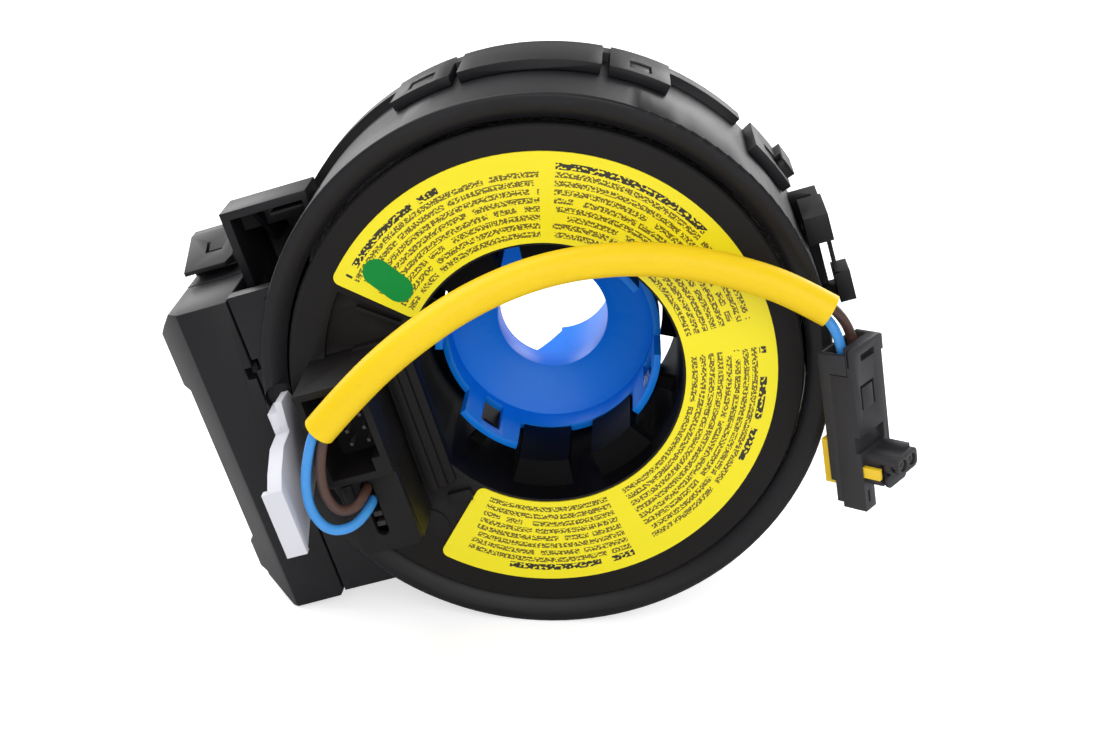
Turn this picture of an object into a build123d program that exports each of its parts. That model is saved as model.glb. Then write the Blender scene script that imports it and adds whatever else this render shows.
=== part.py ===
from build123d import *
import os
from math import cos, radians, sin, tan

# Steering clock spring, standing on its drum and the foot of its connector block.
# The rotor turns about the Y axis, its labelled face looks towards -Y, and the
# origin is on that axis in the plane of the label's front.

# Driving sizes, in millimetres and degrees
lean = 17.0                 # lean of the connector block and socket tower about the rotor axis
gap = 0.3                   # clearance between pieces that move on each other
seam = 0.4                  # open joint line between the outer mouldings

hub_in = 22.3               # inner radius of the rotor's hub tube
hub_wall = 1.7
hub_tail = 1.6              # how far the hub tube stands out behind the back plate
hook_out = 1.3              # how far its hooks reach over the back plate
hook_width = 18.0           # degrees
disc_wide = 19.2            # how far the rotor disc reaches out from the hub's bore
disc_face = 0.25            # depth of the disc's front, under the label
disc_thick = 2.2
disc_edge = 0.35            # bevel of the disc's outer edge

groove = 0.6                # width of the groove round the disc
ring_width = 4.1            # width of the front ring, outside the groove
ring_face = 0.5             # depth of the ring's front
ring_land = 1.8             # width of its flat part, outside the slope down to the disc
ring_dish = 1.35            # how far it slopes back
ring_lip = 2.9              # thickness of the ring's front lip
ring_round = 0.6            # rounding of the ring's front corner
wall = 1.8                  # thickness of the drum wall
split_y = 24.5              # depth where the ring's wall meets the rear case
back_y = 30.5               # depth of the drum's back
back_thick = 1.9            # thickness of the back plate

label_inset = 0.4           # bare edge between the label and the hub's bore
label_edge = 4.2            # bare edge between the label and the disc's outside
label_from = -118.5         # degrees, lower end of the label
label_to = 155.0            # upper left end
label_thick = 0.25
badge_long = 8.8
badge_wide = 4.5
badge_at = (-24.7, 16.1)
badge_lean = -38.0
badge_thick = 0.1

plate_out = 1.8             # height of the raised snap plates over the drum wall
plate_y = 16.0              # depth of their front edges
latches = [(109.7, 122.3, 5.4), (66.2, 78.4, 4.4), (35.0, 46.0, 4.6)]
band_from = 80.0            # plain raised band between the two upper snap plates
band_to = 108.0
rim_out = 1.5               # raised rim round the top of the drum's back
rim_y = 26.5
rim_from = 49.0
rim_to = 152.0
window_y = 18.6             # depth of the snap windows' front edges
window_long = 5.2
lug_out = 1.5               # height of the snap lugs over the wall
stop_out = 1.3              # height of the stop beside the lowest snap plate's window

block_wide = 13.6           # width of the side cover, left of the joint line
block_top = 25.5
block_corner = 2.5          # bevel of its upper left corner
block_step = 3.6            # how far the foot's left end stands in from the left side
block_face = 3.0            # depth of the block's front
block_bevel = 4.6           # bevel of its left front edge
block_mid = 18.0            # depth where the rear case's half begins
block_back = 33.0
shell = 1.8                 # wall of the block's shells
pad_out = 1.2               # height of the pads on the side cover's left edge
pads = [(21.6, 11.8, 1.4), (-19.2, -24.4, 1.3)]  # top, foot and length of the top's slope
flange_foot = -30.2
notch = 2.0                 # side of the pry notches on the joint line

tray_wide = 15.1            # width of the open tray beside the drum
tray_foot = 21.0            # where the open space ends, behind the flange
tray_top = 37.5
tray_front = 12.0
tray_back = 20.0            # depth of the ledge behind its top
tray_step = 4.1             # how far the ledge lies below the tray's top
tray_wall = 1.4

snap_y = (20.0, 30.0)       # sloping snap plate on top of the block
snap_v = (27.6, 31.0)       # height of its front edge and of its back
snap_thick = 0.7

bracket_v = (6.9, 11.5)     # foot and top of the wire guide's box on the right
bracket_y = (8.0, 19.0)
guide_slit = 1.2            # open slit between the box and the web behind it
hook_v = (-3.8, 1.2)        # small box at the end of the guide's strip

harness_v = (-4.0, 20.0)    # mouth of the large column socket
airbag_v = (-24.0, -9.5)    # mouth of the small column socket
bulkhead = 1.6              # plate that carries the column pins
pin_thick = 0.64
pin_long = 7.0
tower_pin_thick = 0.5
tower_pin_long = 3.0

tower_wide = 11.0           # socket tower, and its distance from the hub's bore
tower_off = 2.7
tower_foot = -3.6
tower_head = 12.9
tower_rim = -14.0           # depth of the tower's rim, in front of the label
tower_wall = 1.15
tower_floor = -2.0
tower_pin_cols = 2
tower_pin_rows = 5
tower_pin_pitch = (2.9, 2.3)
header_thick = 2.0

lead_foot = -17.4           # housing of the airbag lead's exit, below the tower
lead_rim = -10.4
cover_thick = 1.6
slot_v = -9.6               # height of the slot's middle
slot_long = 9.8
slot_wide = 1.9

rib_at = 158.9              # degrees, rib in the lowered field above the tower
flange_y = 28.0             # front of the flange that closes the hub at the back

finger_turn = 18.5          # lean of the finger pattern in the hub
finger_mid = 20.0           # degrees from the pattern's middle line
finger_half = 13.5
finger_thick = 1.4
finger_front = 5.2
finger_back = 18.5

sleeve_room = 3.4           # room between the hub's bore and the cancel sleeve's skirt
sleeve_wall = 1.2
lobe_front = 10.5
skirt_front = 19.3
lobe_from = 35.5            # degrees from the pattern's middle line
lobe_to = 71.0
cone_y = 24.4               # depth where the skirt turns into the cone
tube_in = 9.75
tube_wall = 1.75
tube_y = 28.0               # depth of the hole's rim
tube_short = 34.0
tube_long = 48.0
cam_from = -85.0            # arc of the long side of the tube, in degrees
cam_to = 95.0
cam_relief = 0.5            # how far its inside stands back from the hole's wall
ramp_x = -3.6               # where the ramp beside it ends

key_wide = 2.4              # width of the lock key, and of its taller layer
key_tall = 1.25
key_front = -20.7

cable_room = 1.6            # room between the hub and the wound ribbon
cable_thick = 0.4
cable_half_turns = 8
cable_step = 2.05           # growth of the radius in each half turn
cable_edge = 1.2            # space left at each edge of the ribbon

wire_r = 0.8
tube_r = 2.6                # yellow sleeve over the wires
tube_bore = 2.1
wire_apart = 0.95           # each wire's offset from the sleeve's middle line
wire_holes = ((-0.1, -1.7), (-0.1, 1.6))  # blue and brown wires' holes in the plug's top
wire_hole_deep = 1.6

squib_wide = 6.1            # airbag plug: across its narrow face
squib_deep = 8.2
squib_long = 27.4
squib_lean = 9.5            # lean of the plug to the right as it hangs
squib_turn = 40.3           # turn of the plug about its length
squib_at = (49.2, -6.6, -3.5)
squib_cover_part = 1.9      # thickness of the cover half
squib_hood = 9.3            # height above which the cover wraps the whole front
squib_well = 2.6            # depth of the open wire entry in the plug's top
squib_shoulder = -9.3       # height below which only a thin tail goes on
squib_tail = 2.8
latch_y = (-2.05, 1.2)       # latch on its right face, freed by a narrow slit
latch_z = (10.5, 6.4)
latch_slit = 0.45
nose_y = (-2.7, 2.8)
nose_z = (-9.7, -4.0)
nose_out = 5.6
nose_at = -6.6              # height of the nose's and lock's middle on the plug
lock_half = 3.8
lock_wide = 6.2
lock_out = 1.8              # how far the yellow lock stands out of the cover
leg_z = (-7.8, -6.0)        # lock's legs, beside the nose
leg_out = 2.8
leg_wide = 0.8
lock_travel = 2.5

# Route of the yellow sleeve's middle line, from the tower to the plug
sleeve_route = [
    (-33.3, -18.3, -1.6), (-27.3, -18.8, 5.8), (-19.4, -17.6, 13.0), (-10.3, -14.6, 18.7),
    (-0.1, -11.2, 22.2), (11.0, -8.4, 23.3), (22.4, -6.6, 22.3), (32.8, -6.0, 19.6),
    (38.8, -6.2, 17.3), (43.9, -6.9, 14.7),
]
# Each wire leaves the slot straight, loops round to the sleeve, and ends in the plug's top
blue_loop = [
    (-26.9, -11.0, -17.0), (-26.9, -13.8, -17.0), (-29.2, -16.9, -19.0), (-32.8, -18.4, -18.9),
    (-35.3, -18.9, -15.3), (-35.9, -18.8, -11.0), (-35.5, -18.6, -6.8),
]
brown_loop = [
    (-27.6, -11.0, -14.6), (-27.6, -13.4, -14.6), (-28.9, -15.8, -16.2), (-31.3, -17.2, -16.1),
    (-33.1, -17.9, -13.0), (-33.6, -18.1, -9.3), (-33.3, -18.2, -5.6),
]

# Axes of the leaning block: U to its right, V up along it
U = Vector(cos(radians(lean)), 0, sin(radians(lean)))
V = Vector(-sin(radians(lean)), 0, cos(radians(lean)))
FORWARD = Vector(0, -1, 0)

# Sizes that follow from the driving sizes
disc_r = hub_in + disc_wide
disc_back = disc_face + disc_thick
ring_in = disc_r + groove
ring_r = ring_in + ring_width
ring_crest = ring_r - ring_land
ring_bore = ring_r - wall
label_in = hub_in + label_inset
label_out = disc_r - label_edge
plate_r = ring_r + plate_out
hub_out = hub_in + hub_wall
case_bore = hub_out + gap
back_front = back_y - back_thick
cable_in = hub_out + cable_room

# The connector block, tray and wire guide stand on the drum's sides
block_seam = 0.2 - ring_r
block_left = block_seam - block_wide
block_foot_u = block_left + block_step
block_foot = -(ring_r + block_foot_u * sin(radians(lean))) / cos(radians(lean))
harness_u = (block_left + 1.2, block_seam - 1.6)
airbag_u = (block_left + 2.0, block_seam - 2.4)
snap_u = (block_left + 2.1, block_seam - 2.7)
tray_left = block_seam + 1.0
tray_right = tray_left + tray_wide
tray_ledge = tray_top - tray_step
bracket_u = (ring_r - 0.2, ring_r + 3.8)
guide_u = (ring_r + 2.7, ring_r + 3.3)
hook_u = (ring_r + 2.4, ring_r + 5.0)
web_u = ring_r + 1.5
socket_floor = block_mid + gap + 3.2

# The tower, the lead's housing and the key stand on the rotor disc, the cancel sleeve in its hub
tower_right = -(hub_in + tower_off)
tower_left = tower_right - tower_wide
header_front = tower_floor - header_thick
lead_left = tower_left + 0.6
lead_right = tower_right - 0.2
lead_top = tower_foot - seam
slot_at = (lead_left + 4.7, slot_v)
key_u = (0.9 - disc_r - key_wide, 0.9 - disc_r)
key_step = key_u[1] - key_tall
sleeve_r = hub_in - sleeve_room
flange_in = sleeve_r + 0.5
finger_in = sleeve_r - 1.3
wire_end = squib_well + wire_hole_deep
finger_axis = finger_turn - 90


def facing(depth, turn=0.0):
    """Plane at a depth, seen from the front: its x runs right, and its y up."""
    right = (cos(radians(turn)), 0, sin(radians(turn)))
    return Plane(origin=(0, depth, 0), x_dir=right, z_dir=(0, -1, 0))


def slab(shape, near, far, turn=0.0):
    """Solid with a front outline, between two depths."""
    return extrude(facing(far, turn) * shape, amount=far - near, dir=FORWARD)


def ring(outer, inner, near, far):
    return slab(Circle(outer) - Circle(inner), near, far)


def disc(radius, near, far):
    return slab(Circle(radius), near, far)


def arc_face(inner, outer, start, end):
    """Part of a ring between two angles, as a flat outline."""
    low, high = radians(start), radians(end)
    sweep = end - start
    return make_face([
        CenterArc((0, 0), outer, start, sweep),
        Line((outer * cos(high), outer * sin(high)), (inner * cos(high), inner * sin(high))),
        CenterArc((0, 0), inner, start, sweep),
        Line((inner * cos(low), inner * sin(low)), (outer * cos(low), outer * sin(low))),
    ])


def sector(inner, outer, start, end, near, far):
    return slab(arc_face(inner, outer, start, end), near, far)


def box(u_span, v_span, near, far, turn=lean):
    """Box on the leaning axes."""
    width, height = u_span[1] - u_span[0], v_span[1] - v_span[0]
    middle = (u_span[0] + width / 2, v_span[0] + height / 2)
    return slab(Pos(*middle) * Rectangle(width, height), near, far, turn)


def along(points, low, high):
    """Outline in the (u, depth) plane, drawn out along V."""
    plane = Plane(origin=V * low, x_dir=U, z_dir=V)
    return extrude(plane * make_face(Polyline(*points, close=True)), amount=high - low, dir=V)


def across(points, low, high):
    """Outline in the (v, depth) plane, drawn out along U."""
    plane = Plane(origin=U * low, x_dir=V, z_dir=-U)
    return extrude(plane * make_face(Polyline(*points, close=True)), amount=high - low, dir=U)


def outline(points, near, far):
    """Outline on the leaning axes, between two depths."""
    return slab(make_face(Polyline(*points, close=True)), near, far, lean)


def window_span(latch):
    """Angles of the window in a snap plate."""
    start, end, width = latch
    middle = (start + end) / 2
    return middle - width / 2, middle + width / 2


def make_rear_case():
    case = ring(ring_r, ring_bore, split_y, back_y) + ring(ring_r, case_bore, back_front, back_y)

    # Raised snap plates, the plain band between them, and the raised rim behind
    for start, end in [(s, e) for s, e, _ in latches] + [(band_from, band_to)]:
        case += sector(ring_r + 0.1, plate_r, start, end, plate_y, split_y + 0.5)
        case += sector(ring_bore + 0.2, plate_r, start, end, split_y, back_y)
    case += sector(ring_bore + 0.2, ring_r + rim_out, rim_from, rim_to, rim_y, back_y)
    lowest = latches[-1][0]
    case += sector(ring_r, plate_r + stop_out, lowest + 0.3, lowest + 4.2, window_y + 1.5, back_y - 1)

    # Housing of the column sockets, in the rear half of the block
    inner_right = tray_left - 0.2
    outer_points = [
        (block_left, block_top - block_corner), (block_left + block_corner, block_top),
        (tray_left + tray_wall, block_top), (tray_left + tray_wall, tray_foot),
        (block_seam + 8, tray_foot), (block_seam + 8, flange_foot), (block_foot_u + 9, flange_foot),
        (block_foot_u + 8, block_foot), (block_foot_u, block_foot), (block_left, block_foot + 5),
    ]
    inner_points = [
        (block_left + shell, block_top - shell), (inner_right, block_top - shell),
        (inner_right, flange_foot + shell), (block_foot_u + 2, flange_foot + shell),
        (block_left + shell, block_foot + 5 + shell),
    ]
    case += outline(outer_points, block_mid + gap, block_back)
    case -= outline(inner_points, block_mid, socket_floor)

    # Sloping snap plate on its top, raised over a dark gap, with a slit round its latch
    under = snap_v[0] - snap_thick
    plate = across([(under, snap_y[0]), (snap_v[0], snap_y[0]), (snap_v[1], snap_y[1]),
                    (snap_v[1], block_back), (block_top - 0.2, block_back),
                    (block_top - 0.2, snap_y[0] + 5), (under, snap_y[0] + 5)], *snap_u)
    plate &= along([(snap_u[0], snap_y[0]), (snap_u[1] - 1.2, snap_y[0]), (snap_u[1], snap_y[0] + 1.6),
                    (snap_u[1], block_back), (snap_u[0], block_back)], block_top - 1, snap_v[1] + 1)
    plate -= box((snap_u[0] + 3.5, snap_u[0] + 4.1), (under + 0.9, snap_v[1] + 1),
                 snap_y[0] + 4, snap_y[0] + 7)
    plate -= box((snap_u[0] + 3.5, snap_u[0] + 6.6), (under + 0.9, snap_v[1] + 1),
                 snap_y[0] + 4, snap_y[0] + 4.4)
    case += plate

    # Tray beside the drum: top, left wall, ledge and back, open to the front
    sides = (tray_left, tray_right)
    tray = box(sides, (tray_top - tray_wall, tray_top), tray_front, tray_back)
    tray += box((tray_left, tray_left + tray_wall), (tray_foot + 3.4, tray_top), tray_front, tray_back)
    tray += box((tray_left, tray_left + tray_wall), (tray_foot - 1, tray_ledge + 0.5), tray_back, back_y)
    tray += box((tray_right - 1, tray_right), (tray_ledge, tray_top), tray_front, tray_back)
    tray += box(sides, (tray_ledge, tray_top), tray_back - 2.4, tray_back)
    tray += box(sides, (tray_ledge - 1, tray_ledge + 0.5), tray_back - 2.4, back_y)
    tray += box(sides, (tray_foot - 1, tray_ledge + 0.5), back_front, back_y)
    tray += across([(tray_top - 1, tray_front + 1), (tray_ledge - 4.8, tray_back + 0.5),
                    (tray_ledge - 4.8, back_y - 1), (tray_top - 1, tray_back - 1)],
                   tray_left + 4.8, tray_left + 5.5)
    tray += box((tray_left + 7.8, tray_right - 1.6), (tray_top - 2.9, tray_top - 2.4),
                tray_front + 1.5, tray_back - 2)
    case += tray

    # Wire guide on the right: box, back web, strip and end box
    guide = box(bracket_u, bracket_v, *bracket_y)
    web_y = bracket_y[1] + guide_slit
    inside = ring_r - 8.0
    outside = bracket_u[1] - 0.4
    guide += box((inside, outside), (bracket_v[0] + 1, bracket_v[1]), web_y, web_y + 4)
    guide += box((inside, outside), (bracket_v[0] + 1, bracket_v[0] + 2), bracket_y[1] - 1, back_y)
    guide += box((outside - 1.2, outside), bracket_v, bracket_y[1] - 1, web_y + 1)
    guide += box((inside + 2, web_u), (hook_v[0] - 2.4, bracket_v[0] + 1.5), bracket_y[0] + 5, back_y - 5)
    guide += box(guide_u, (hook_v[0], bracket_v[0] + 1), bracket_y[0] + 1, bracket_y[0] + 5)
    guide += box(hook_u, hook_v, bracket_y[0], bracket_y[0] + 6)
    guide += box((web_u - 1, hook_u[0] + 1), (hook_v[0], hook_v[0] + 2), bracket_y[0] + 3, bracket_y[0] + 6)
    guide -= across([(bracket_v[1] - 1.0, bracket_y[0] - 1), (bracket_v[1] + 1, bracket_y[0] - 1),
                     (bracket_v[1] + 1, bracket_y[0] + 1.0)], bracket_u[0] - 1, bracket_u[1] + 1)
    case += guide

    # Room for the ring's wall, the wound ribbon and the rotor's hub
    case -= disc(ring_r + 0.1, -1, split_y)
    case -= disc(ring_bore, -1, back_front)
    case -= disc(case_bore, -1, block_back + 1)

    # Mouths of the column sockets, at the back, down to the pin carrier
    case -= box(harness_u, harness_v, socket_floor, block_back + 1)
    case -= box(airbag_u, airbag_v, socket_floor, block_back + 1)

    # Snap windows, and the slot through which the ribbon's tail reaches the block
    for latch in latches:
        case -= sector(ring_r - 0.3, plate_r + 1, *window_span(latch), window_y, window_y + window_long)
    case -= box((block_seam - 1, block_seam + 6), (-2.0, 2.0), block_mid, back_front - 2)
    return case


def make_front_ring():
    # Front of the ring, drawn as radius against depth: rounded outside, sloping in to the disc
    lip_back = ring_face + ring_lip
    profile = Polyline((ring_in, ring_face + ring_dish), (ring_crest, ring_face), (ring_r, ring_face),
                       (ring_r, lip_back), (ring_in, lip_back), close=True)
    body = revolve(Plane.XY * make_face(profile), Axis.Y)
    outer_edge = body.edges().filter_by(GeomType.CIRCLE).sort_by(
        lambda edge: edge.radius - edge.center().Y)[-1]
    body = fillet(outer_edge, ring_round)
    body += ring(ring_r, ring_bore, lip_back - 0.2, split_y - 0.1)

    # Flange beside the connector block, with its top, left and bottom walls
    top = block_top + 0.5
    right = block_seam + 16.0
    edge = block_seam + seam / 2
    flange = box((edge, right), (flange_foot, top), block_face, block_face + shell)
    flange += box((edge, right), (top - 1.5, top), block_face, block_face + 2.6)
    flange += box((edge, right), (flange_foot, flange_foot + shell), block_face, block_mid)
    flange += box((edge, edge + 1.4), (flange_foot, tray_foot + 3), block_face, tray_front - gap)
    flange -= disc(ring_r - 0.5, -1, block_back)
    body += flange

    # Pry notch, scoop beside the key, and a small rib next to the ring
    body -= box((edge - 1, edge + notch / 2), (12.9, 12.9 + notch), block_face - 1, block_face + 3)
    body -= slab(Pos(key_u[0], 8.2) * Circle(2.3), ring_face - 1, ring_face + ring_dish + 0.4, lean)
    body += box((block_seam + 6.1, block_seam + 6.7), (21.4, 24.4), block_face - 0.9, block_face + 0.5)
    for latch in latches:
        low, high = window_span(latch)
        body += sector(ring_bore + 0.2, ring_r + lug_out, low + 0.35, high - 0.15,
                       window_y + 0.9, window_y + window_long - 0.2)
    return body


def make_side_cover():
    edge = block_seam - seam / 2
    plan = [
        (edge, block_face), (block_left + block_bevel, block_face),
        (block_left, block_face + block_bevel), (block_left, block_mid), (edge, block_mid),
    ]
    front = [
        (block_left, block_top - block_corner), (block_left + block_corner, block_top),
        (edge, block_top), (edge, flange_foot),
        (edge - 0.8, block_foot + 0.1), (block_foot_u, block_foot), (block_left, block_foot + 5.2),
    ]
    cover = along(plan, block_foot - 1, block_top + 1) & outline(front, 0, block_back)
    hollow = [
        (block_left + shell, block_top - shell), (edge - shell, block_top - shell),
        (edge - shell, flange_foot + shell), (block_foot_u + 1, flange_foot + shell),
        (block_left + shell, block_foot + 5.2 + shell),
    ]
    cover -= outline(hollow, block_face + block_bevel, block_mid + 1)
    inner = (block_left + block_bevel + 0.6, edge - shell), (flange_foot + shell, block_top - shell)
    cover -= box(*inner, block_face + shell, block_mid)

    # Grip pads on its left edge, sloping into the side at their ends and at the front
    near = block_face + block_bevel
    pad_plan = along([(block_left + 0.5, near - 0.5), (block_left - pad_out, near + 1.2),
                      (block_left - pad_out, near + 9), (block_left + 0.5, near + 9)],
                     block_foot, block_top)
    for top, foot, slope in pads:
        pad = [(block_left + 0.5, foot - 1.2), (block_left - pad_out, foot),
               (block_left - pad_out, top), (block_left, top + slope), (block_left + 0.5, top + slope)]
        cover += outline(pad, near - 1, near + 10) & pad_plan
    cover -= box((edge - notch / 2 - 0.4, edge + 1), (11.6, 11.6 + notch), block_face - 1, block_face + 3)
    return cover


def make_rotor():
    body = ring(disc_r, hub_in, disc_face, disc_back)
    front_edge = body.edges().filter_by(GeomType.CIRCLE).sort_by(
        lambda edge: edge.radius - edge.center().Y)[-1]
    body = chamfer(front_edge, disc_edge)
    body += ring(hub_out, hub_in, disc_face, back_y + hub_tail)
    for n in range(4):
        middle = 45 + 90 * n
        body += sector(hub_out - 0.2, hub_out + hook_out, middle - hook_width / 2,
                       middle + hook_width / 2, back_y + gap, back_y + hub_tail)

    # Lowered field between the label's upper end and the tower, with its rib
    body -= sector(hub_out + 0.6, label_out - 1.6, label_to + 2, 180, disc_face - 1, disc_face + 1.2)
    body += sector(hub_out, label_out - 5.1, rib_at, rib_at + 1.2, disc_face, disc_back)

    # Guard rails along the bore's left side, in three steps
    for n, depth in enumerate((-2.4, -1.4, -0.4)):
        left = 1.4 * n - 1.5 - hub_in
        body += box((left, left + 1.4), (-13.6, 12.4), depth, disc_back)

    # Small shelf at the tower's top, post below the rails, and low boss beyond the label's end
    body += box((tower_right - 3.3, tower_right + 2.8), (tower_head - 0.4, tower_head + 0.4),
                disc_face - 0.7, disc_back)
    body += box((-21.7, -17.8), (-17.5, -15.6), disc_face - 1.2, disc_back)
    body += slab(Pos(-26.6, -20.9) * Circle(3.2), disc_face - 0.4, disc_back, lean)

    # Socket tower, and the lower housing of the airbag lead
    body += box((tower_left, tower_right), (tower_foot, tower_head), tower_rim, disc_back)
    body -= box((tower_left + tower_wall, tower_right - tower_wall),
                (tower_foot + tower_wall, tower_head - tower_wall), tower_rim - 1, tower_floor)
    body += box((tower_right - 2.6, tower_right - 1), (tower_foot + 1, tower_foot + 3.4),
                tower_rim, tower_floor)
    body += box((lead_left, lead_right), (lead_foot, tower_foot + 0.5), lead_rim, disc_back)
    body -= box((lead_left + tower_wall, lead_right - tower_wall),
                (lead_foot + tower_wall, tower_foot - tower_wall), lead_rim - 1, tower_floor)

    # Flange that closes the hub behind the cancel sleeve's skirt, open at the two lower snap noses
    floor = ring(hub_in + 0.2, flange_in, flange_y, flange_y + 1.5)
    for side, sign in ((finger_axis, -1), (finger_axis, 1)):
        nose = side + sign * (lobe_from + lobe_to) / 2
        floor -= sector(flange_in - 1, hub_in, nose - 8, nose + 8, flange_y - 1, flange_y + 3)
    body += floor

    # Fingers and snap noses that hold the cancel sleeve
    for side in (finger_axis, finger_axis + 180):
        for sign in (-1, 1):
            middle = side + sign * finger_mid
            low, high = middle - finger_half, middle + finger_half
            body += sector(finger_in, finger_in + finger_thick, low, high, finger_front, finger_back)
            body += sector(finger_in, hub_in + 0.3, low, high, finger_front, finger_front + 2.6)
            nose = side + sign * (lobe_from + lobe_to) / 2
            body += sector(sleeve_r - 0.5, hub_in + 0.3, nose - 3, nose + 3, 13.6, 15.4)
    return body


def make_cancel_sleeve():
    # Skirt, cone and tube in one turned wall, drawn as radius against depth
    inner = sleeve_r - sleeve_wall
    tube_out = tube_in + tube_wall
    profile = Polyline(
        (inner, skirt_front), (sleeve_r, skirt_front), (sleeve_r, cone_y + 1.2),
        (tube_out, tube_y + 2.4), (tube_out, tube_short), (tube_in, tube_short),
        (tube_in, tube_y), (inner, cone_y), close=True)
    body = revolve(Plane.XY * make_face(profile), Axis.Y)
    for side in (finger_axis, finger_axis + 180):
        for sign in (-1, 1):
            ends = sorted((side + sign * lobe_from, side + sign * lobe_to))
            body += sector(inner, sleeve_r, *ends, lobe_front, skirt_front + 0.5)
            middle = sum(ends) / 2
            body -= sector(inner - 1, sleeve_r + 1, middle - 6, middle + 6, lobe_front + 2.2, 22.6)

    # Long side of the tube, which works the indicator switch, with its ramp
    cam_in = tube_in + cam_relief
    body += sector(cam_in, tube_out, cam_from, cam_to, tube_short - 1, tube_long)
    start = tube_out * cos(radians(cam_from)) + 0.5
    slope = Polyline((start, tube_short - 1), (start, tube_long), (ramp_x, tube_short),
                     (ramp_x, tube_short - 1), close=True)
    wedge = extrude(Plane(origin=(0, 0, -tube_out - 1), x_dir=(1, 0, 0), z_dir=(0, 0, 1))
                    * make_face(slope), amount=tube_out)
    body += ring(tube_out, cam_in, tube_short - 1, tube_long) & wedge
    return body


def make_label():
    face = arc_face(label_in, label_out, label_from, label_to)
    face = fillet(face.vertices(), 1.3)
    return slab(face, disc_face - label_thick, disc_face)


def make_label_badge():
    shape = Pos(*badge_at) * Rot(0, 0, badge_lean) * SlotOverall(badge_long, badge_wide)
    front = disc_face - label_thick
    return slab(shape, front - badge_thick, front)


def pin(u, v, near, far, thick=pin_thick):
    half = thick / 2
    return box((u - half, u + half), (v - half, v + half), near, far)


def tower_pin_places():
    middle = (tower_left + tower_right) / 2, (tower_foot + tower_head) / 2
    for col in range(tower_pin_cols):
        for row in range(tower_pin_rows):
            u = middle[0] + (col - (tower_pin_cols - 1) / 2) * tower_pin_pitch[0]
            v = middle[1] + (row - (tower_pin_rows - 1) / 2) * tower_pin_pitch[1]
            yield u, v


def make_inner_lead_block():
    carrier = box((tower_left + tower_wall, tower_right - tower_wall - 1.6),
                  (tower_foot + tower_wall, tower_head - tower_wall), header_front, tower_floor)
    for u, v in tower_pin_places():
        carrier -= pin(u, v, header_front - 1, tower_floor, tower_pin_thick)
    return carrier


def make_tower_pins():
    return Compound([pin(u, v, header_front - tower_pin_long, tower_floor, tower_pin_thick)
                     for u, v in tower_pin_places()])


def column_pin_places(u_span, v_span, rows):
    """Two columns of pins in a column socket."""
    mid_u = sum(u_span) / 2
    pitch = (v_span[1] - v_span[0] - 4) / (rows - 1)
    for col in (-1, 1):
        for row in range(rows):
            yield mid_u + col * 1.8, v_span[0] + 2 + pitch * row


def column_pins(u_span, v_span, rows):
    return Compound([pin(u, v, socket_floor - bulkhead, socket_floor + pin_long)
                     for u, v in column_pin_places(u_span, v_span, rows)])


def make_outer_lead_block():
    face = socket_floor
    left, right = block_left + shell + gap, block_seam - 0.2 - gap
    foot, top = flange_foot + shell + gap, block_top - shell - gap
    carrier = box((left, right), (foot + 6, top), face - bulkhead, face)
    for spans in ((harness_u, harness_v, 5), (airbag_u, airbag_v, 2)):
        for u, v in column_pin_places(*spans):
            carrier -= pin(u, v, face - bulkhead - 1, face + 1)
    return carrier


def make_lead_cover():
    plate = box((lead_left, lead_right), (lead_foot, lead_top), lead_rim - cover_thick, lead_rim)
    plate = fillet(plate.edges().filter_by(Axis.Y).sort_by(Axis.Z)[:2], 1.2)
    slot = Pos(*slot_at) * Rot(0, 0, 90) * SlotOverall(slot_long, slot_wide)
    plate -= slab(slot, lead_rim - cover_thick - 1, lead_rim + 1, lean)
    plate += box((lead_left + 0.8, lead_left + 2.6), (lead_top - 3.2, lead_top - 0.4),
                 lead_rim - cover_thick - 0.6, lead_rim - cover_thick)
    return plate


def make_lead_terminals():
    # Crimped posts behind the wires, and two lower contact blades
    ends = []
    for v, front in ((-5.9, blue_loop[0][1]), (-8.4, blue_loop[0][1]),
                     (-10.9, lead_rim - 0.9), (-12.7, lead_rim - 0.9)):
        ends.append(box((slot_at[0] - 0.7, slot_at[0] + 0.7), (v - 0.4, v + 0.4), front, tower_floor))
    return Compound(ends)


def make_flat_cable():
    near = disc_back + cable_edge
    far = back_front - cable_edge
    band = None
    for n in range(cable_half_turns):
        radius = cable_in + cable_step * n
        centre = 0 if n % 2 == 0 else cable_step
        start = 180 * (n % 2)
        piece = Pos(centre, 0) * arc_face(radius, radius + cable_thick, start, start + 180)
        band = piece if band is None else band + piece
    return slab(band, near, far)


def make_slide_sheet():
    return ring(ring_bore - 0.4, hub_out + 0.8, back_front - 0.25, back_front)


def make_lock_key():
    rest = disc_face - 0.2
    waist = [(5.2, -7.4), (5.0, -12.4), (3.0, -17.6), (1.2, key_front), (-10.2, key_front),
             (-7.2, -12.4), (-5.6, -5.0), (-4.6, rest)]
    tall = [(8.2, rest), (9.6, -1.0), (9.8, -6.0), (6.0, -7.4)] + waist
    low = [(6.4, rest), (8.3, -1.0), (8.3, -6.2), (6.0, -7.6)] + waist
    key = across(tall, key_step, key_u[1]) + across(low, key_u[0], key_step)
    key += box((key_u[0] - 0.6, key_step), (4.5, 8.3), -6.0, -1.2)
    key += box((key_step - 0.6, key_step), (-3.0, 3.0), rest - 0.5, ring_face)
    key += box((key_u[0] - 1.0, key_u[1]), (-10.2, 1.2), key_front, key_front + 1.4)
    return key


def bend_radii(points):
    """Largest arc that each corner's two runs allow."""
    places = [Vector(*p) for p in points]
    radii = []
    for before, corner, after in zip(places, places[1:], places[2:]):
        first, second = corner - before, after - corner
        turn = radians(first.get_angle(second))
        radii.append(0.45 * min(first.length, second.length) / tan(turn / 2))
    return radii


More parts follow.
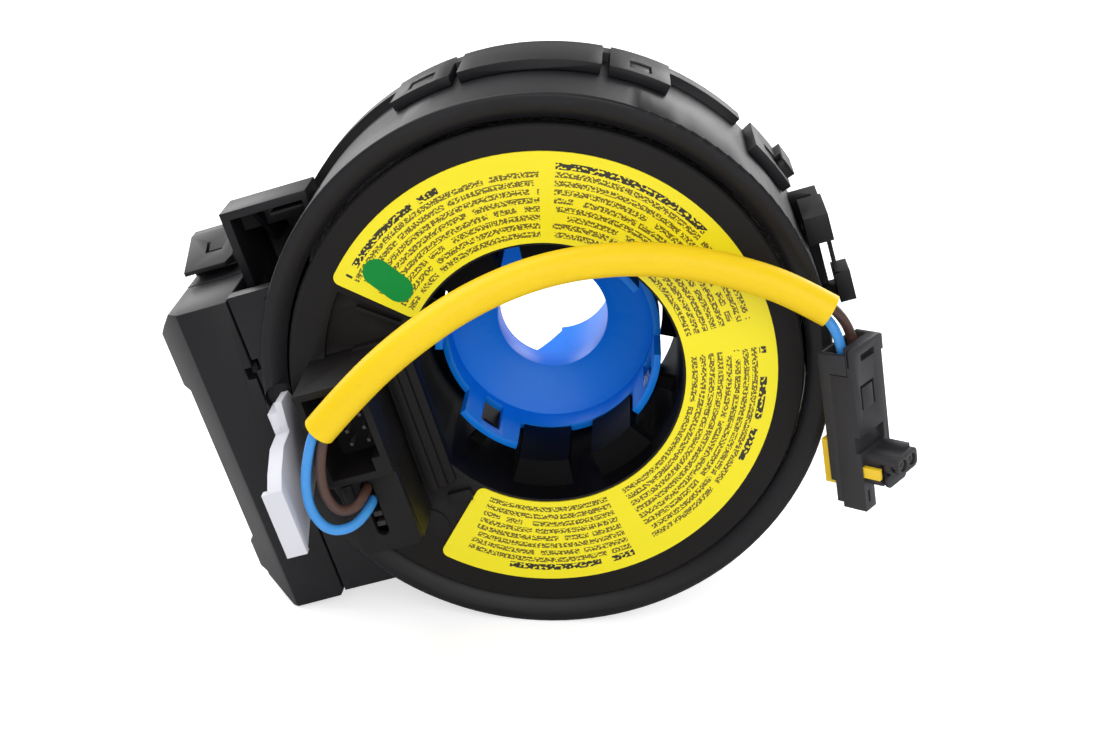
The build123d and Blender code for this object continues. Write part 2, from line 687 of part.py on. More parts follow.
def cord(name, points, radius, bore=0.0):
    """Round tube along straight runs joined by tangent arcs."""
    radii = bend_radii(points)
    path = FilletPolyline(*points, radius=radii)
    start = Plane(origin=path @ 0, z_dir=path % 0)
    section = Circle(radius) - Circle(bore) if bore else Circle(radius)
    tube = sweep(start * section, path=path)
    area = 3.14159265 * (radius ** 2 - bore ** 2)
    print(name, "length", round(path.length, 1), "radii", [round(r, 1) for r in radii],
          "volume ratio", round(tube.volume / (area * path.length), 4))
    return tube


# The plug's own axes: x across it, y back, z up along it
plug_right = Vector(cos(radians(squib_lean)), 0, sin(radians(squib_lean)))
plug_up = Vector(-sin(radians(squib_lean)), 0, cos(radians(squib_lean)))
plug_across = plug_right * cos(radians(squib_turn)) - Vector(0, 1, 0) * sin(radians(squib_turn))
plug = Plane(origin=squib_at, x_dir=plug_across, z_dir=plug_up)
half_wide, half_deep, half_long = squib_wide / 2, squib_deep / 2, squib_long / 2
cover_x = -half_wide + squib_cover_part
leg_places = (-half_deep + 0.3, half_deep - 1.1)
leg_room = (leg_z[0] - 0.1, leg_z[1] + 0.1)
contact_places = (-1.2, 1.3)


def wire_route(loop, hole, turn_from):
    """A wire's whole route: its loop, half a turn round the other wire in the sleeve, its end."""
    inside = []
    last = len(sleeve_route) - 1
    for n, place in enumerate(sleeve_route):
        run = Vector(*sleeve_route[min(n + 1, last)]) - Vector(*sleeve_route[max(n - 1, 0)])
        below = run.cross(FORWARD).normalized()
        front = run.cross(below).normalized()
        turn = radians(turn_from - 180 * n / last)
        offset = (below * cos(turn) + front * sin(turn)) * wire_apart
        spot = Vector(*place) + offset
        inside.append((round(spot.X, 2), round(spot.Y, 2), round(spot.Z, 2)))
    end = []
    for height in (half_long + 0.2, half_long - wire_end):
        spot = plug.from_local_coords(Vector(*hole, height))
        end.append((round(spot.X, 2), round(spot.Y, 2), round(spot.Z, 2)))
    return loop + inside + end


def plug_box(x_span, y_span, z_span):
    """Box on the plug's own axes."""
    sizes = [span[1] - span[0] for span in (x_span, y_span, z_span)]
    middles = [(span[0] + span[1]) / 2 for span in (x_span, y_span, z_span)]
    return Pos(*middles) * Box(*sizes)


def make_squib_body():
    front, back, right, top = -half_deep, half_deep, half_wide, half_long
    body = plug_box((cover_x, right), (front, back), (squib_shoulder, top))
    body += plug_box((cover_x, right), (front, front + squib_tail), (-half_long, top))
    body += plug_box((cover_x, right), (front + 1, back + 0.5), (top - 2.8, top - 0.3))
    body -= plug_box((cover_x - 1, cover_x + 1.2), (front + 1.2, back - 1.2),
                     (squib_shoulder + 1.2, top - wire_end - 1.0))

    # Open wire entry in the top, the hood's seat at the front, and the wires' holes
    body -= plug_box((cover_x - 1, 1.1), (front + 0.9, back - 0.8), (top - squib_well, top + 1))
    body -= plug_box((cover_x - 1, 2.0), (front - 1, front + 1.0), (squib_hood, top + 1))
    for x, y in wire_holes:
        body -= Pos(x, y, top - squib_well - wire_hole_deep / 2 + 0.5) * Cylinder(
            wire_r + 0.05, wire_hole_deep + 1)

    # Nose that plugs into the airbag, in two barrels with keying slots between
    far = right + nose_out
    for n in range(2):
        low = nose_z[0] + n * 2.5
        long = (0.62, 1.0)[n] * nose_out
        tall = (2.2, nose_z[1] - low)[n]
        barrel = plug_box((right - 0.5, right + long), nose_y, (low, low + tall))
        body += fillet(barrel.edges().filter_by(Axis.X), 0.95)
    for x in (2.2, 4.2):
        body -= plug_box((right + x, right + x + 0.8), (nose_y[0] - 1, nose_y[0] + 1.1),
                         (nose_z[0] - 1, nose_z[0] + 4.2))
    body += plug_box((right - 0.5, far - 0.8), (0.6, 2.2), (nose_z[1] - 0.6, nose_z[1] + 0.6))
    for y in contact_places:
        body -= Pos(far - 1.4, y, nose_at + 0.9) * Rot(0, 90, 0) * Cylinder(0.95, 3.4)

    # Dark opening above the nose, latch slit, window, and small slots
    skin = (right - 0.9, right + 1)
    slit = (right - 0.6, right + 1)
    body -= plug_box(skin, (front - 1, back - 1.4), (nose_z[1] + 0.4, -0.9))
    for y in latch_y:
        body -= plug_box(slit, (y - latch_slit, y), (top - latch_z[0], top - latch_z[1]))
    body -= plug_box(slit, (latch_y[0] - latch_slit, latch_y[1]),
                     (top - latch_z[1] - 0.5, top - latch_z[1]))
    body -= plug_box(skin, (-1.6, 2.1), (top - 2.6, top - 1.5))
    body -= plug_box((right - 0.9, right - 0.6), (front - 1, front + 0.9), (top - 2.9, top + 1))
    body -= plug_box(skin, (front + 0.9, front + 1.4), (-half_long + 1.4, -half_long + 3.4))

    # Slots for the lock's legs, beside the nose
    for y in leg_places:
        body -= plug_box((cover_x - 1, right + 1), (y - 0.1, y + leg_wide + 0.1), leg_room)
    return plug.location * body


def make_squib_cover():
    front, back, left, top = -half_deep, half_deep, -half_wide, half_long
    cover = plug_box((left, cover_x), (front, back), (squib_shoulder, top - 1.0))
    cover += plug_box((left + 0.8, cover_x), (front, front + squib_tail), (-half_long + 0.8, top - 4))
    cover += plug_box((left, 1.9), (front, front + 0.9), (squib_hood + 0.1, top - 1.0))
    cover -= plug_box((left + 0.5, cover_x + 1), (front + 0.9, back - 0.8), (top - 3.6, top + 1))
    half = lock_half + 0.2
    cover -= plug_box((left - 1, left + 1.2), (-lock_wide / 2 - 0.2, lock_wide / 2 + 0.2),
                      (nose_at - half, nose_at + half))
    for y in leg_places:
        cover -= plug_box((left, cover_x + 1), (y - 0.1, y + leg_wide + 0.1), leg_room)
    return plug.location * cover


def make_squib_lock():
    # Plate on the cover's outside, with two legs that pass through to the nose
    lock = plug_box((-half_wide - lock_out, -half_wide + 1.0), (-lock_wide / 2, lock_wide / 2),
                    (nose_at - lock_half, nose_at + lock_half))
    for y in leg_places:
        lock += plug_box((-half_wide, half_wide + leg_out), (y, y + leg_wide), leg_z)
    return plug.location * lock


def make_squib_contacts():
    pair = [Pos(half_wide + nose_out - 1.8, y, nose_at + 0.9) * Rot(0, 90, 0)
            * (Cylinder(0.9, 2.6) - Cylinder(0.5, 2.6)) for y in contact_places]
    return Compound([plug.location * tube for tube in pair])


pieces = {
    "rear_case": make_rear_case(),
    "front_ring": make_front_ring(),
    "side_cover": make_side_cover(),
    "outer_lead_block": make_outer_lead_block(),
    "harness_pins": column_pins(harness_u, harness_v, 5),
    "airbag_pins": column_pins(airbag_u, airbag_v, 2),
    "flat_cable": make_flat_cable(),
    "slide_sheet": make_slide_sheet(),
    "rotor": make_rotor(),
    "cancel_sleeve": make_cancel_sleeve(),
    "label": make_label(),
    "label_badge": make_label_badge(),
    "inner_lead_block": make_inner_lead_block(),
    "tower_pins": make_tower_pins(),
    "lead_cover": make_lead_cover(),
    "lead_terminals": make_lead_terminals(),
    "lock_key": make_lock_key(),
    "lead_sleeve": cord("lead_sleeve", sleeve_route, tube_r, tube_bore),
    "blue_wire": cord("blue_wire", wire_route(blue_loop, wire_holes[0], 180), wire_r),
    "brown_wire": cord("brown_wire", wire_route(brown_loop, wire_holes[1], 0), wire_r),
    "squib_body": make_squib_body(),
    "squib_cover": make_squib_cover(),
    "squib_lock": make_squib_lock(),
    "squib_contacts": make_squib_contacts(),
}

os.makedirs("parts", exist_ok=True)
for name, piece in pieces.items():
    export_step(piece, f"parts/{name}.step")
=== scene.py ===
from math import cos, pi, radians, sin

import bpy
import bmesh
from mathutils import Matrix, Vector


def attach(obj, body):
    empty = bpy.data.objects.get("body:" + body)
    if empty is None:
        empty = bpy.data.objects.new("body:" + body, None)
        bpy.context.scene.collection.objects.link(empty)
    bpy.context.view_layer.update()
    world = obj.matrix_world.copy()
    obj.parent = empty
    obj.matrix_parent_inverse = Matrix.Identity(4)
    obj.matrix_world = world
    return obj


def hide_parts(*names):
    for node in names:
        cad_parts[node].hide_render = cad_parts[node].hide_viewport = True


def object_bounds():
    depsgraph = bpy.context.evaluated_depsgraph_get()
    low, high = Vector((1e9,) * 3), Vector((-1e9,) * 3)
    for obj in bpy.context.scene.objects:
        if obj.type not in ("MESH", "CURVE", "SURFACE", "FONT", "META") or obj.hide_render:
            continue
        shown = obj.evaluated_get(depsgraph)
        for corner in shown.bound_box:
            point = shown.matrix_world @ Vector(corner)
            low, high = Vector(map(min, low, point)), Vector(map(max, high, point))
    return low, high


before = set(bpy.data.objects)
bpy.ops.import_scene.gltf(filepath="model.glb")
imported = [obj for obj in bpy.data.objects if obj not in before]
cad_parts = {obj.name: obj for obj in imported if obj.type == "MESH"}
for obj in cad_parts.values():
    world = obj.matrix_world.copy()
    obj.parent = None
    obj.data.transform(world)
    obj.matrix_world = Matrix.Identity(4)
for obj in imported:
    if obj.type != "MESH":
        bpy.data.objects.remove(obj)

cad_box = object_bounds()


# Camera, floor and lights.
# The camera stands in front of the labelled face, a little to the right, and looks down on it.
# A pale floor runs under the drum, with soft daylight from above and in front.
view_from = Vector((0.01183, -0.23295, 0.10037))
view_turn = radians(-2.505)
view_down = radians(23.025)
camera = bpy.data.objects.new("camera", bpy.data.cameras.new("camera"))
camera.data.sensor_width = 36.0
camera.data.lens = 51.187
camera.data.clip_start = 0.01
camera.location = view_from
camera.rotation_euler = (radians(90) - view_down, 0, -view_turn)
bpy.context.collection.objects.link(camera)
bpy.context.scene.camera = camera
bpy.context.scene.view_settings.view_transform = "Standard"

bpy.ops.object.select_all(action="DESELECT")
bpy.ops.mesh.primitive_plane_add(size=6.0, location=(0, 0, cad_box[0][2] - 0.00005))
floor = bpy.context.object
floor.name = "floor"


def white_where_seen(name, shade, seen):
    """Pale paper that is plain white to the camera."""
    paper = bpy.data.materials.new(name)
    paper.use_nodes = True
    nodes, links = paper.node_tree.nodes, paper.node_tree.links
    nodes.clear()
    out = nodes.new("ShaderNodeOutputMaterial")
    diffuse = nodes.new("ShaderNodeBsdfDiffuse")
    diffuse.inputs["Color"].default_value = (*shade, 1)
    glow = nodes.new("ShaderNodeEmission")
    glow.inputs["Strength"].default_value = seen
    mix = nodes.new("ShaderNodeAddShader")
    links.new(diffuse.outputs[0], mix.inputs[0])
    links.new(glow.outputs[0], mix.inputs[1])
    rays = nodes.new("ShaderNodeLightPath")
    camera_ray = nodes.new("ShaderNodeMath")
    camera_ray.operation = "MULTIPLY"
    camera_ray.inputs[1].default_value = seen
    links.new(rays.outputs["Is Camera Ray"], camera_ray.inputs[0])
    links.new(camera_ray.outputs[0], glow.inputs["Strength"])
    links.new(mix.outputs[0], out.inputs["Surface"])
    return paper


floor.data.materials.append(white_where_seen("floor_paper", (0.80, 0.80, 0.81), 0.6))

world = bpy.data.worlds.new("studio")
bpy.context.scene.world = world
world.use_nodes = True
sky, sky_links = world.node_tree.nodes, world.node_tree.links
sky.clear()
sky_out = sky.new("ShaderNodeOutputWorld")
soft_light = sky.new("ShaderNodeBackground")
soft_light.inputs["Color"].default_value = (1, 1, 1, 1)
soft_light.inputs["Strength"].default_value = 0.36
backdrop = sky.new("ShaderNodeBackground")
backdrop.inputs["Color"].default_value = (0.99, 0.99, 1, 1)
backdrop.inputs["Strength"].default_value = 1.0
rays = sky.new("ShaderNodeLightPath")
seen = sky.new("ShaderNodeMath")
seen.operation = "MAXIMUM"
sky_links.new(rays.outputs["Is Camera Ray"], seen.inputs[0])
sky_links.new(rays.outputs["Is Transmission Ray"], seen.inputs[1])
sky_mix = sky.new("ShaderNodeMixShader")
sky_links.new(seen.outputs[0], sky_mix.inputs["Fac"])
sky_links.new(soft_light.outputs[0], sky_mix.inputs[1])
sky_links.new(backdrop.outputs[0], sky_mix.inputs[2])
sky_links.new(sky_mix.outputs[0], sky_out.inputs["Surface"])

for name, across, tall, power, place in (
    ("overhead", 0.6, 0.6, 4.0, (-0.32, 0.22, 0.62)),
    ("behind_right", 1.3, 0.7, 10.5, (0.80, 1.00, 0.44)),
    ("behind_left", 0.9, 0.5, 4.6, (-0.80, 0.95, 0.34)),
    ("front", 0.9, 0.9, 6.0, (0.12, -0.85, 0.50)),
):
    lamp = bpy.data.objects.new(name, bpy.data.lights.new(name, "AREA"))
    lamp.data.shape = "RECTANGLE"
    lamp.data.size = across
    lamp.data.size_y = tall
    lamp.data.energy = power
    lamp.location = place
    lamp.rotation_euler = (Vector((0, 0.01, 0)) - Vector(place)).to_track_quat("-Z", "Y").to_euler()
    bpy.context.collection.objects.link(lamp)


# Airbag lead: two vinyl-insulated wires, pale blue and brown, in a soft yellow vinyl sleeve.
# They come straight out of the slot below the tower, loop round once and run up into the
# sleeve, which arches over the bore and ends just before the plug, half a turn twisted.
sleeve_line = [
    (-33.3, -18.3, -1.6), (-27.3, -18.8, 5.8), (-19.4, -17.6, 13.0), (-10.3, -14.6, 18.7),
    (-0.1, -11.2, 22.2), (11.0, -8.4, 23.3), (22.4, -6.6, 22.3), (32.8, -6.0, 19.6),
    (38.8, -6.2, 17.3), (43.9, -6.9, 14.7),
]
blue_line = [
    (-26.9, -11.0, -17.0), (-26.9, -13.8, -17.0), (-29.2, -16.9, -19.0), (-32.8, -18.4, -18.9),
    (-35.3, -18.9, -15.3), (-35.9, -18.8, -11.0), (-35.5, -18.6, -6.8), (-34.04, -18.3, -1.0),
    (-27.95, -18.48, 6.41), (-19.93, -17.0, 13.51), (-10.72, -13.81, 19.03),
    (-0.39, -10.3, 22.31), (10.81, -7.48, 23.13), (22.23, -5.78, 21.85), (32.57, -5.39, 18.91),
    (38.46, -5.88, 16.47), (43.47, -6.9, 13.85), (45.75, -7.83, 10.02), (46.47, -7.83, 5.68),
]
brown_line = [
    (-27.6, -11.0, -14.6), (-27.6, -13.4, -14.6), (-28.9, -15.8, -16.2), (-31.3, -17.2, -16.1),
    (-33.1, -17.9, -13.0), (-33.6, -18.1, -9.3), (-33.3, -18.2, -5.6), (-32.56, -18.3, -2.2),
    (-26.65, -19.12, 5.19), (-18.87, -18.2, 12.49), (-9.88, -15.39, 18.37), (0.19, -12.1, 22.09),
    (11.19, -9.32, 23.47), (22.57, -7.42, 22.75), (33.03, -6.61, 20.29), (39.14, -6.52, 18.13),
    (44.33, -6.9, 15.55), (47.85, -5.32, 10.37), (48.58, -5.32, 6.03),
]


def lead_curve(name, line, half_width):
    """A lead's own line: one smooth spline over its route's points, given in millimetres."""
    data = bpy.data.curves.new(name, "CURVE")
    data.dimensions = "3D"
    spline = data.splines.new("NURBS")
    spline.points.add(len(line) - 1)
    for point, place in zip(spline.points, line):
        point.co = (*(value / 1000 for value in place), 1)
        point.radius = half_width
    spline.order_u = 3
    spline.use_endpoint_u = True
    data.resolution_u = 10
    data.use_fill_caps = True
    piece = bpy.data.objects.new(name, data)
    bpy.context.collection.objects.link(piece)
    return piece


def grain_group():
    """Surface of a moulding: its tone, gloss and height change a little from place to place."""
    group = bpy.data.node_groups.new("moulding_grain", "ShaderNodeTree")
    for name, kind in (("Colour", "Color"), ("Pale colour", "Color"), ("Roughness", "Float"),
                       ("Gloss spread", "Float"), ("Grain scale", "Float")):
        group.interface.new_socket(name=name, in_out="INPUT", socket_type="NodeSocket" + kind)
    for name, kind in (("Colour", "Color"), ("Roughness", "Float"), ("Height", "Float")):
        group.interface.new_socket(name=name, in_out="OUTPUT", socket_type="NodeSocket" + kind)
    nodes, links = group.nodes, group.links
    given = nodes.new("NodeGroupInput")
    result = nodes.new("NodeGroupOutput")
    place = nodes.new("ShaderNodeTexCoord")
    fine = nodes.new("ShaderNodeTexNoise")
    fine.inputs["Detail"].default_value = 3.0
    links.new(place.outputs["Object"], fine.inputs["Vector"])
    links.new(given.outputs["Grain scale"], fine.inputs["Scale"])
    broad = nodes.new("ShaderNodeTexNoise")
    broad.inputs["Scale"].default_value = 90.0
    broad.inputs["Detail"].default_value = 2.0
    links.new(place.outputs["Object"], broad.inputs["Vector"])
    tone = nodes.new("ShaderNodeMath")
    tone.operation = "MULTIPLY"
    links.new(broad.outputs["Fac"], tone.inputs[0])
    links.new(fine.outputs["Fac"], tone.inputs[1])
    mix = nodes.new("ShaderNodeMix")
    mix.data_type = "RGBA"
    links.new(tone.outputs[0], mix.inputs["Factor"])
    links.new(given.outputs["Colour"], mix.inputs[6])
    links.new(given.outputs["Pale colour"], mix.inputs[7])
    centred = nodes.new("ShaderNodeMath")
    centred.operation = "SUBTRACT"
    centred.inputs[1].default_value = 0.5
    links.new(broad.outputs["Fac"], centred.inputs[0])
    gloss = nodes.new("ShaderNodeMath")
    gloss.operation = "MULTIPLY_ADD"
    links.new(centred.outputs[0], gloss.inputs[0])
    links.new(given.outputs["Gloss spread"], gloss.inputs[1])
    links.new(given.outputs["Roughness"], gloss.inputs[2])
    links.new(mix.outputs[2], result.inputs["Colour"])
    links.new(gloss.outputs[0], result.inputs["Roughness"])
    links.new(fine.outputs["Fac"], result.inputs["Height"])
    return group


moulding_grain = grain_group()


def finish(name, colour, pale, roughness, spread=0.12, grain=5200.0, bump=0.04, depth=0.00002,
           gleam=0.5):
    """A plastic or vinyl finish from the grain group, with its own tone, gloss and texture."""
    material = bpy.data.materials.new(name)
    material.use_nodes = True
    nodes, links = material.node_tree.nodes, material.node_tree.links
    shader = nodes["Principled BSDF"]
    surface = nodes.new("ShaderNodeGroup")
    surface.node_tree = moulding_grain
    surface.inputs["Colour"].default_value = (*colour, 1)
    surface.inputs["Pale colour"].default_value = (*pale, 1)
    surface.inputs["Roughness"].default_value = roughness
    surface.inputs["Gloss spread"].default_value = spread
    surface.inputs["Grain scale"].default_value = grain
    links.new(surface.outputs["Colour"], shader.inputs["Base Color"])
    links.new(surface.outputs["Roughness"], shader.inputs["Roughness"])
    shader.inputs["Specular IOR Level"].default_value = gleam
    texture = nodes.new("ShaderNodeBump")
    texture.inputs["Strength"].default_value = bump
    texture.inputs["Distance"].default_value = depth
    links.new(surface.outputs["Height"], texture.inputs["Height"])
    links.new(texture.outputs["Normal"], shader.inputs["Normal"])
    material.diffuse_color = (*colour, 1)
    return material


wire_half_width = 0.0008
blue_wire = lead_curve("blue_wire_jacket", blue_line, wire_half_width)
brown_wire = lead_curve("brown_wire_jacket", brown_line, wire_half_width)
for wire, node in ((blue_wire, "blue_wire"), (brown_wire, "brown_wire")):
    wire.data.bevel_depth = 1.0        # times each point's radius, which is the wire's own
    wire.data.bevel_resolution = 5
    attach(wire, "rotor")
    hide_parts(node)
blue_wire.data.materials.append(
    finish("pale_blue_vinyl", (0.035, 0.27, 0.72), (0.08, 0.37, 0.84), 0.38, grain=2600.0))
brown_wire.data.materials.append(
    finish("brown_vinyl", (0.055, 0.024, 0.017), (0.12, 0.06, 0.045), 0.42, grain=2600.0))

# The sleeve is cut from tube, so both its ends are open and show the wall.
sleeve = lead_curve("lead_sleeve_tube", sleeve_line, 0.0026)
sleeve_path = [list(v.co) for v in bpy.data.meshes.new_from_object(sleeve).vertices]
sleeve.data.bevel_depth = 1.0
sleeve.data.bevel_resolution = 12
sleeve.data.use_fill_caps = False
bpy.ops.object.select_all(action="DESELECT")
sleeve.select_set(True)
bpy.context.view_layer.objects.active = sleeve
bpy.ops.object.convert(target="MESH")
sleeve_wall = sleeve.modifiers.new("wall", "SOLIDIFY")
sleeve_wall.thickness = 0.0005
sleeve_wall.offset = -1.0
bpy.ops.object.modifier_apply(modifier="wall")
bpy.ops.object.shade_smooth_by_angle(angle=radians(50))
sleeve.data.materials.append(
    finish("yellow_vinyl", (0.90, 0.60, 0.005), (0.96, 0.69, 0.010), 0.46, spread=0.16,
           grain=900.0, bump=0.05, depth=0.0001, gleam=0.3))
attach(sleeve, "rotor")
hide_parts("lead_sleeve")


# Airbag plug: dark grey plastic body and cover, with a yellow lock and plated contacts.
def moulding(node, name, body, edge, material, smooth=35.0, flat=0.5):
    """The node's moulding with its doubles merged and its edges rounded, as they leave the tool."""
    bpy.ops.object.select_all(action="DESELECT")
    piece = bpy.data.objects.new(name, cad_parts[node].data.copy())
    bpy.context.collection.objects.link(piece)
    piece.select_set(True)
    bpy.context.view_layer.objects.active = piece
    bpy.ops.object.mode_set(mode="EDIT")
    bpy.ops.mesh.select_all(action="SELECT")
    bpy.ops.mesh.remove_doubles(threshold=0.000002)
    bpy.ops.mesh.dissolve_limited(angle_limit=radians(flat))
    bpy.ops.object.mode_set(mode="OBJECT")
    rounding = piece.modifiers.new("rounding", "BEVEL")
    rounding.width = edge
    rounding.segments = 2
    rounding.limit_method = "ANGLE"
    rounding.angle_limit = radians(smooth)
    bpy.ops.object.modifier_apply(modifier="rounding")
    bpy.ops.object.shade_smooth_by_angle(angle=radians(smooth))
    piece.data.materials.clear()
    piece.data.materials.append(material)
    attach(piece, body)
    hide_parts(node)
    return piece


plug_grey = finish("plug_grey", (0.019, 0.018, 0.022), (0.034, 0.033, 0.039), 0.48, gleam=0.4)
squib_body = moulding("squib_body", "squib_body_moulding", "rotor", 0.0002, plug_grey)
squib_cover = moulding("squib_cover", "squib_cover_moulding", "rotor", 0.0002, plug_grey)
lock_yellow = finish("lock_yellow", (0.90, 0.58, 0.015), (0.97, 0.68, 0.03), 0.30)
squib_lock = moulding("squib_lock", "squib_lock_moulding", "squib_lock", 0.0002, lock_yellow)


# Front ring, rear case and side cover: three mouldings in black glass-filled plastic.
# The ring's wall snaps into the rear case, and the cover closes the connector block.
housing_black = finish("housing_black", (0.0085, 0.0080, 0.0095), (0.018, 0.017, 0.020), 0.42, gleam=0.24)
front_ring = moulding("front_ring", "front_ring_moulding", "stator", 0.00022, housing_black)
rear_case = moulding("rear_case", "rear_case_moulding", "stator", 0.00022, housing_black)
side_cover = moulding("side_cover", "side_cover_moulding", "stator", 0.00022, housing_black)


# Rotor: one black moulding of disc, hub, fingers and socket tower, smoother than the housing.
rotor_black = finish("rotor_black", (0.0070, 0.0062, 0.0062), (0.015, 0.0135, 0.0135), 0.50, gleam=0.18)
rotor = moulding("rotor", "rotor_moulding", "rotor", 0.0002, rotor_black)

# The hub's inside and its fingers take a darker copy of the rotor's black, painted shade for the deep
# hub, so they stay darker than the face.
hub_reach = 0.0236
hub_painted_shade = finish("hub_painted_shade", (0.0030, 0.0028, 0.0034), (0.007, 0.0067, 0.0080), 0.60, gleam=0.05)
rotor.data.materials.append(hub_painted_shade)
for face in rotor.data.polygons:
    if Vector((face.center.x, face.center.z)).length < hub_reach and face.center.y > 0.0006:
        face.material_index = 1

lead_cover = moulding("lead_cover", "lead_cover_moulding", "rotor", 0.0002, rotor_black)


# Cancel sleeve: blue low-friction plastic, snapped into the hub; the real sleeve is slightly translucent,
# but its finish here is opaque.
cancel_blue = finish("cancel_blue", (0.001, 0.195, 0.82), (0.008, 0.28, 0.91), 0.38, gleam=0.26)
cancel_sleeve = moulding("cancel_sleeve", "cancel_sleeve_moulding", "rotor", 0.00018,
                         cancel_blue, flat=0.05)


# Lock key: white plastic, pushed in at the rim to hold the rotor centred.
key_white = finish("key_white", (0.66, 0.66, 0.72), (0.78, 0.78, 0.83), 0.42)
lock_key = moulding("lock_key", "lock_key_moulding", "lock_key", 0.0003, key_white)


# Label: yellow film with four blocks of fine olive print under a short heavy row each. The
# print is rows of broken strokes in rings round the bore, and spells nothing.
row_start = 0.0234
row_pitch = 0.00137
rows = 9
row_spans = ((-113, -66), (-59, 9), (17, 86), (91, 151))
heavy_spans = ((-101, -66), (-24, 9), (44, 86), (118, 151))


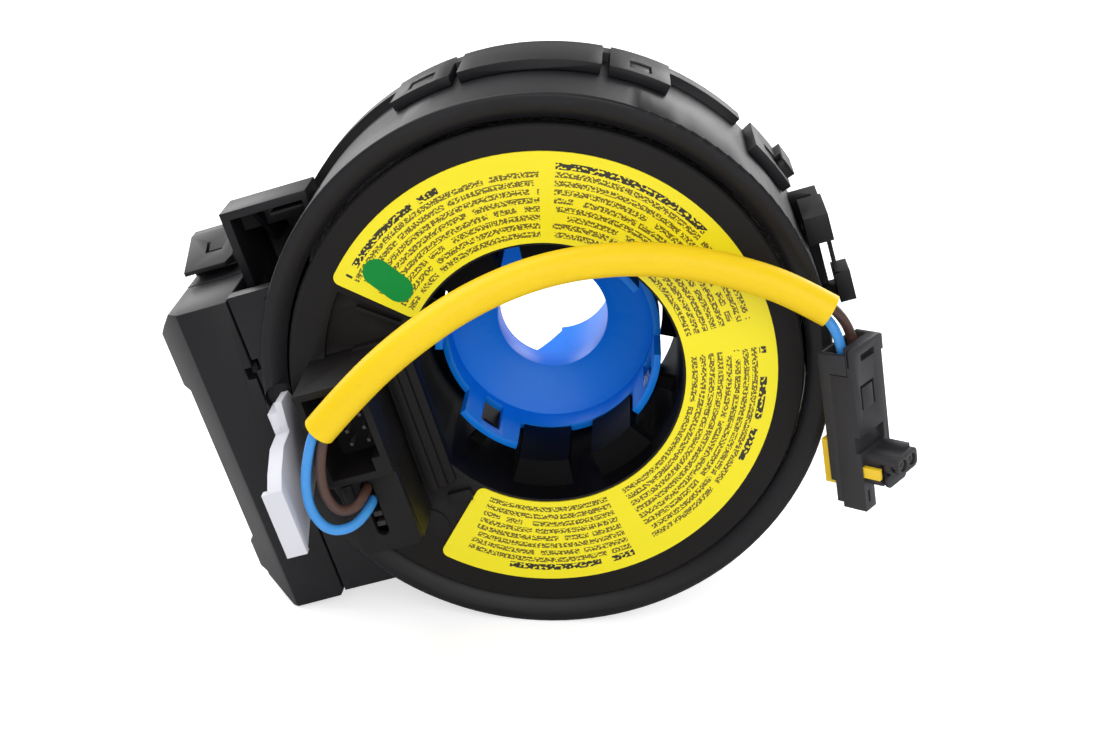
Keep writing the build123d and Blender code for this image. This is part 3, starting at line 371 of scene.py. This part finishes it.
def print_rows():
    """Where the label is inked, and which of it is the heavy row, from the place on the disc."""
    group = bpy.data.node_groups.new("print_rows", "ShaderNodeTree")
    for name in ("Fine ink", "Heavy ink"):
        group.interface.new_socket(name=name, in_out="OUTPUT", socket_type="NodeSocketFloat")
    nodes, links = group.nodes, group.links

    def sum_of(operation, *values):
        step = nodes.new("ShaderNodeMath")
        step.operation = operation
        for socket, value in zip(step.inputs, values):
            if isinstance(value, (int, float)):
                socket.default_value = value
            else:
                links.new(value, socket)
        return step.outputs[0]

    def strokes(along, across, least):
        """Patches of ink where a noise over the two directions is high enough."""
        spot = nodes.new("ShaderNodeCombineXYZ")
        links.new(along, spot.inputs[0])
        links.new(across, spot.inputs[1])
        noise = nodes.new("ShaderNodeTexNoise")
        noise.inputs["Scale"].default_value = 1.0
        noise.inputs["Detail"].default_value = 0.0
        links.new(spot.outputs[0], noise.inputs["Vector"])
        return sum_of("GREATER_THAN", noise.outputs["Fac"], least)

    def blocks(turn, spans):
        """1 within the spans of the turn round the bore, and 0 between them."""
        ramp = nodes.new("ShaderNodeValToRGB")
        ramp.color_ramp.interpolation = "CONSTANT"
        stops = ramp.color_ramp.elements
        stops[0].color = (0, 0, 0, 1)
        stops[1].color = (0, 0, 0, 1)
        for start, end in spans:
            stops.new(start / 360 + 0.5).color = (1, 1, 1, 1)
            stops.new(end / 360 + 0.5).color = (0, 0, 0, 1)
        links.new(turn, ramp.inputs[0])
        return ramp.outputs[0]

    place = nodes.new("ShaderNodeTexCoord")
    parts = nodes.new("ShaderNodeSeparateXYZ")
    links.new(place.outputs["Object"], parts.inputs[0])
    across, up = parts.outputs["X"], parts.outputs["Z"]
    turn = sum_of("ADD", sum_of("DIVIDE", sum_of("ARCTAN2", up, across), 2 * pi), 0.5)
    reach = sum_of("SQRT", sum_of("ADD", sum_of("MULTIPLY", across, across),
                                  sum_of("MULTIPLY", up, up)))
    row = sum_of("DIVIDE", sum_of("SUBTRACT", reach, row_start), row_pitch)
    number = sum_of("FLOOR", row)
    height = sum_of("SUBTRACT", row, number)
    along = sum_of("MULTIPLY", turn, sum_of("ADD", sum_of("MULTIPLY", number, row_pitch),
                                            row_start + row_pitch / 2))
    off_middle = sum_of("ABSOLUTE", sum_of("SUBTRACT", height, 0.5))
    line_shift = sum_of("MULTIPLY", number, 7.3)

    # Fine rows: words of small strokes, each stroke about 0.2 mm wide
    fine = sum_of("MULTIPLY", sum_of("GREATER_THAN", number, -0.5),
                  sum_of("LESS_THAN", number, rows - 1.5))
    fine = sum_of("MULTIPLY", fine, sum_of("LESS_THAN", off_middle, 0.33))
    fine = sum_of("MULTIPLY", fine, blocks(turn, row_spans))
    fine = sum_of("MULTIPLY", fine, strokes(sum_of("MULTIPLY", along, 2600.0), line_shift, 0.31))
    fine = sum_of("MULTIPLY", fine, strokes(
        sum_of("MULTIPLY", along, 17000.0),
        sum_of("ADD", line_shift, sum_of("MULTIPLY", height, 4.5)), 0.46))

    # Heavy row outside them
    heavy = sum_of("COMPARE", number, rows - 1, 0.1)
    heavy = sum_of("MULTIPLY", heavy, sum_of("LESS_THAN", off_middle, 0.40))
    heavy = sum_of("MULTIPLY", heavy, blocks(turn, heavy_spans))
    heavy = sum_of("MULTIPLY", heavy, strokes(sum_of("MULTIPLY", along, 2200.0), line_shift, 0.33))
    heavy = sum_of("MULTIPLY", heavy, strokes(
        sum_of("MULTIPLY", along, 12000.0),
        sum_of("ADD", line_shift, sum_of("MULTIPLY", height, 3.5)), 0.42))
    result = nodes.new("NodeGroupOutput")
    links.new(fine, result.inputs["Fine ink"])
    links.new(heavy, result.inputs["Heavy ink"])
    return group


label_yellow = finish("label_yellow", (0.93, 0.80, 0.004), (0.98, 0.85, 0.008), 0.42)
label_nodes, label_links = label_yellow.node_tree.nodes, label_yellow.node_tree.links
label_shader = label_nodes["Principled BSDF"]
label_colour = label_shader.inputs["Base Color"].links[0].from_socket
printed = label_nodes.new("ShaderNodeGroup")
printed.node_tree = print_rows()
for output, ink in (("Fine ink", (0.155, 0.118, 0.004, 1)), ("Heavy ink", (0.022, 0.019, 0.008, 1))):
    inked = label_nodes.new("ShaderNodeMix")
    inked.data_type = "RGBA"
    inked.inputs[7].default_value = ink
    label_links.new(printed.outputs[output], inked.inputs["Factor"])
    label_links.new(label_colour, inked.inputs[6])
    label_colour = inked.outputs[2]
label_links.new(label_colour, label_shader.inputs["Base Color"])


# The rest keeps its CAD shape and gets its own finish.
green_print = finish("green_print", (0.001, 0.25, 0.040), (0.003, 0.31, 0.060), 0.45, gleam=0.2)
# The pins' tin is given dark grey: tin darkened with painted shade for the sockets the pins sit in.
pin_tin_painted_shade = finish("pin_tin_painted_shade", (0.10, 0.095, 0.085), (0.16, 0.15, 0.14), 0.34)
crimp_grey = finish("crimp_grey", (0.022, 0.020, 0.020), (0.05, 0.047, 0.045), 0.5, gleam=0.25)
ribbon_film = finish("ribbon_film", (0.75, 0.73, 0.62), (0.82, 0.80, 0.72), 0.4)
slip_film = finish("slip_film", (0.7, 0.7, 0.68), (0.8, 0.8, 0.78), 0.5)
for node, material in (
    ("label", label_yellow), ("label_badge", green_print), ("tower_pins", pin_tin_painted_shade),
    ("lead_terminals", crimp_grey), ("harness_pins", pin_tin_painted_shade), ("airbag_pins", pin_tin_painted_shade),
    ("squib_contacts", pin_tin_painted_shade), ("inner_lead_block", rotor_black),
    ("outer_lead_block", housing_black), ("flat_cable", ribbon_film), ("slide_sheet", slip_film),
):
    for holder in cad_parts[node].material_slots:
        holder.material = material
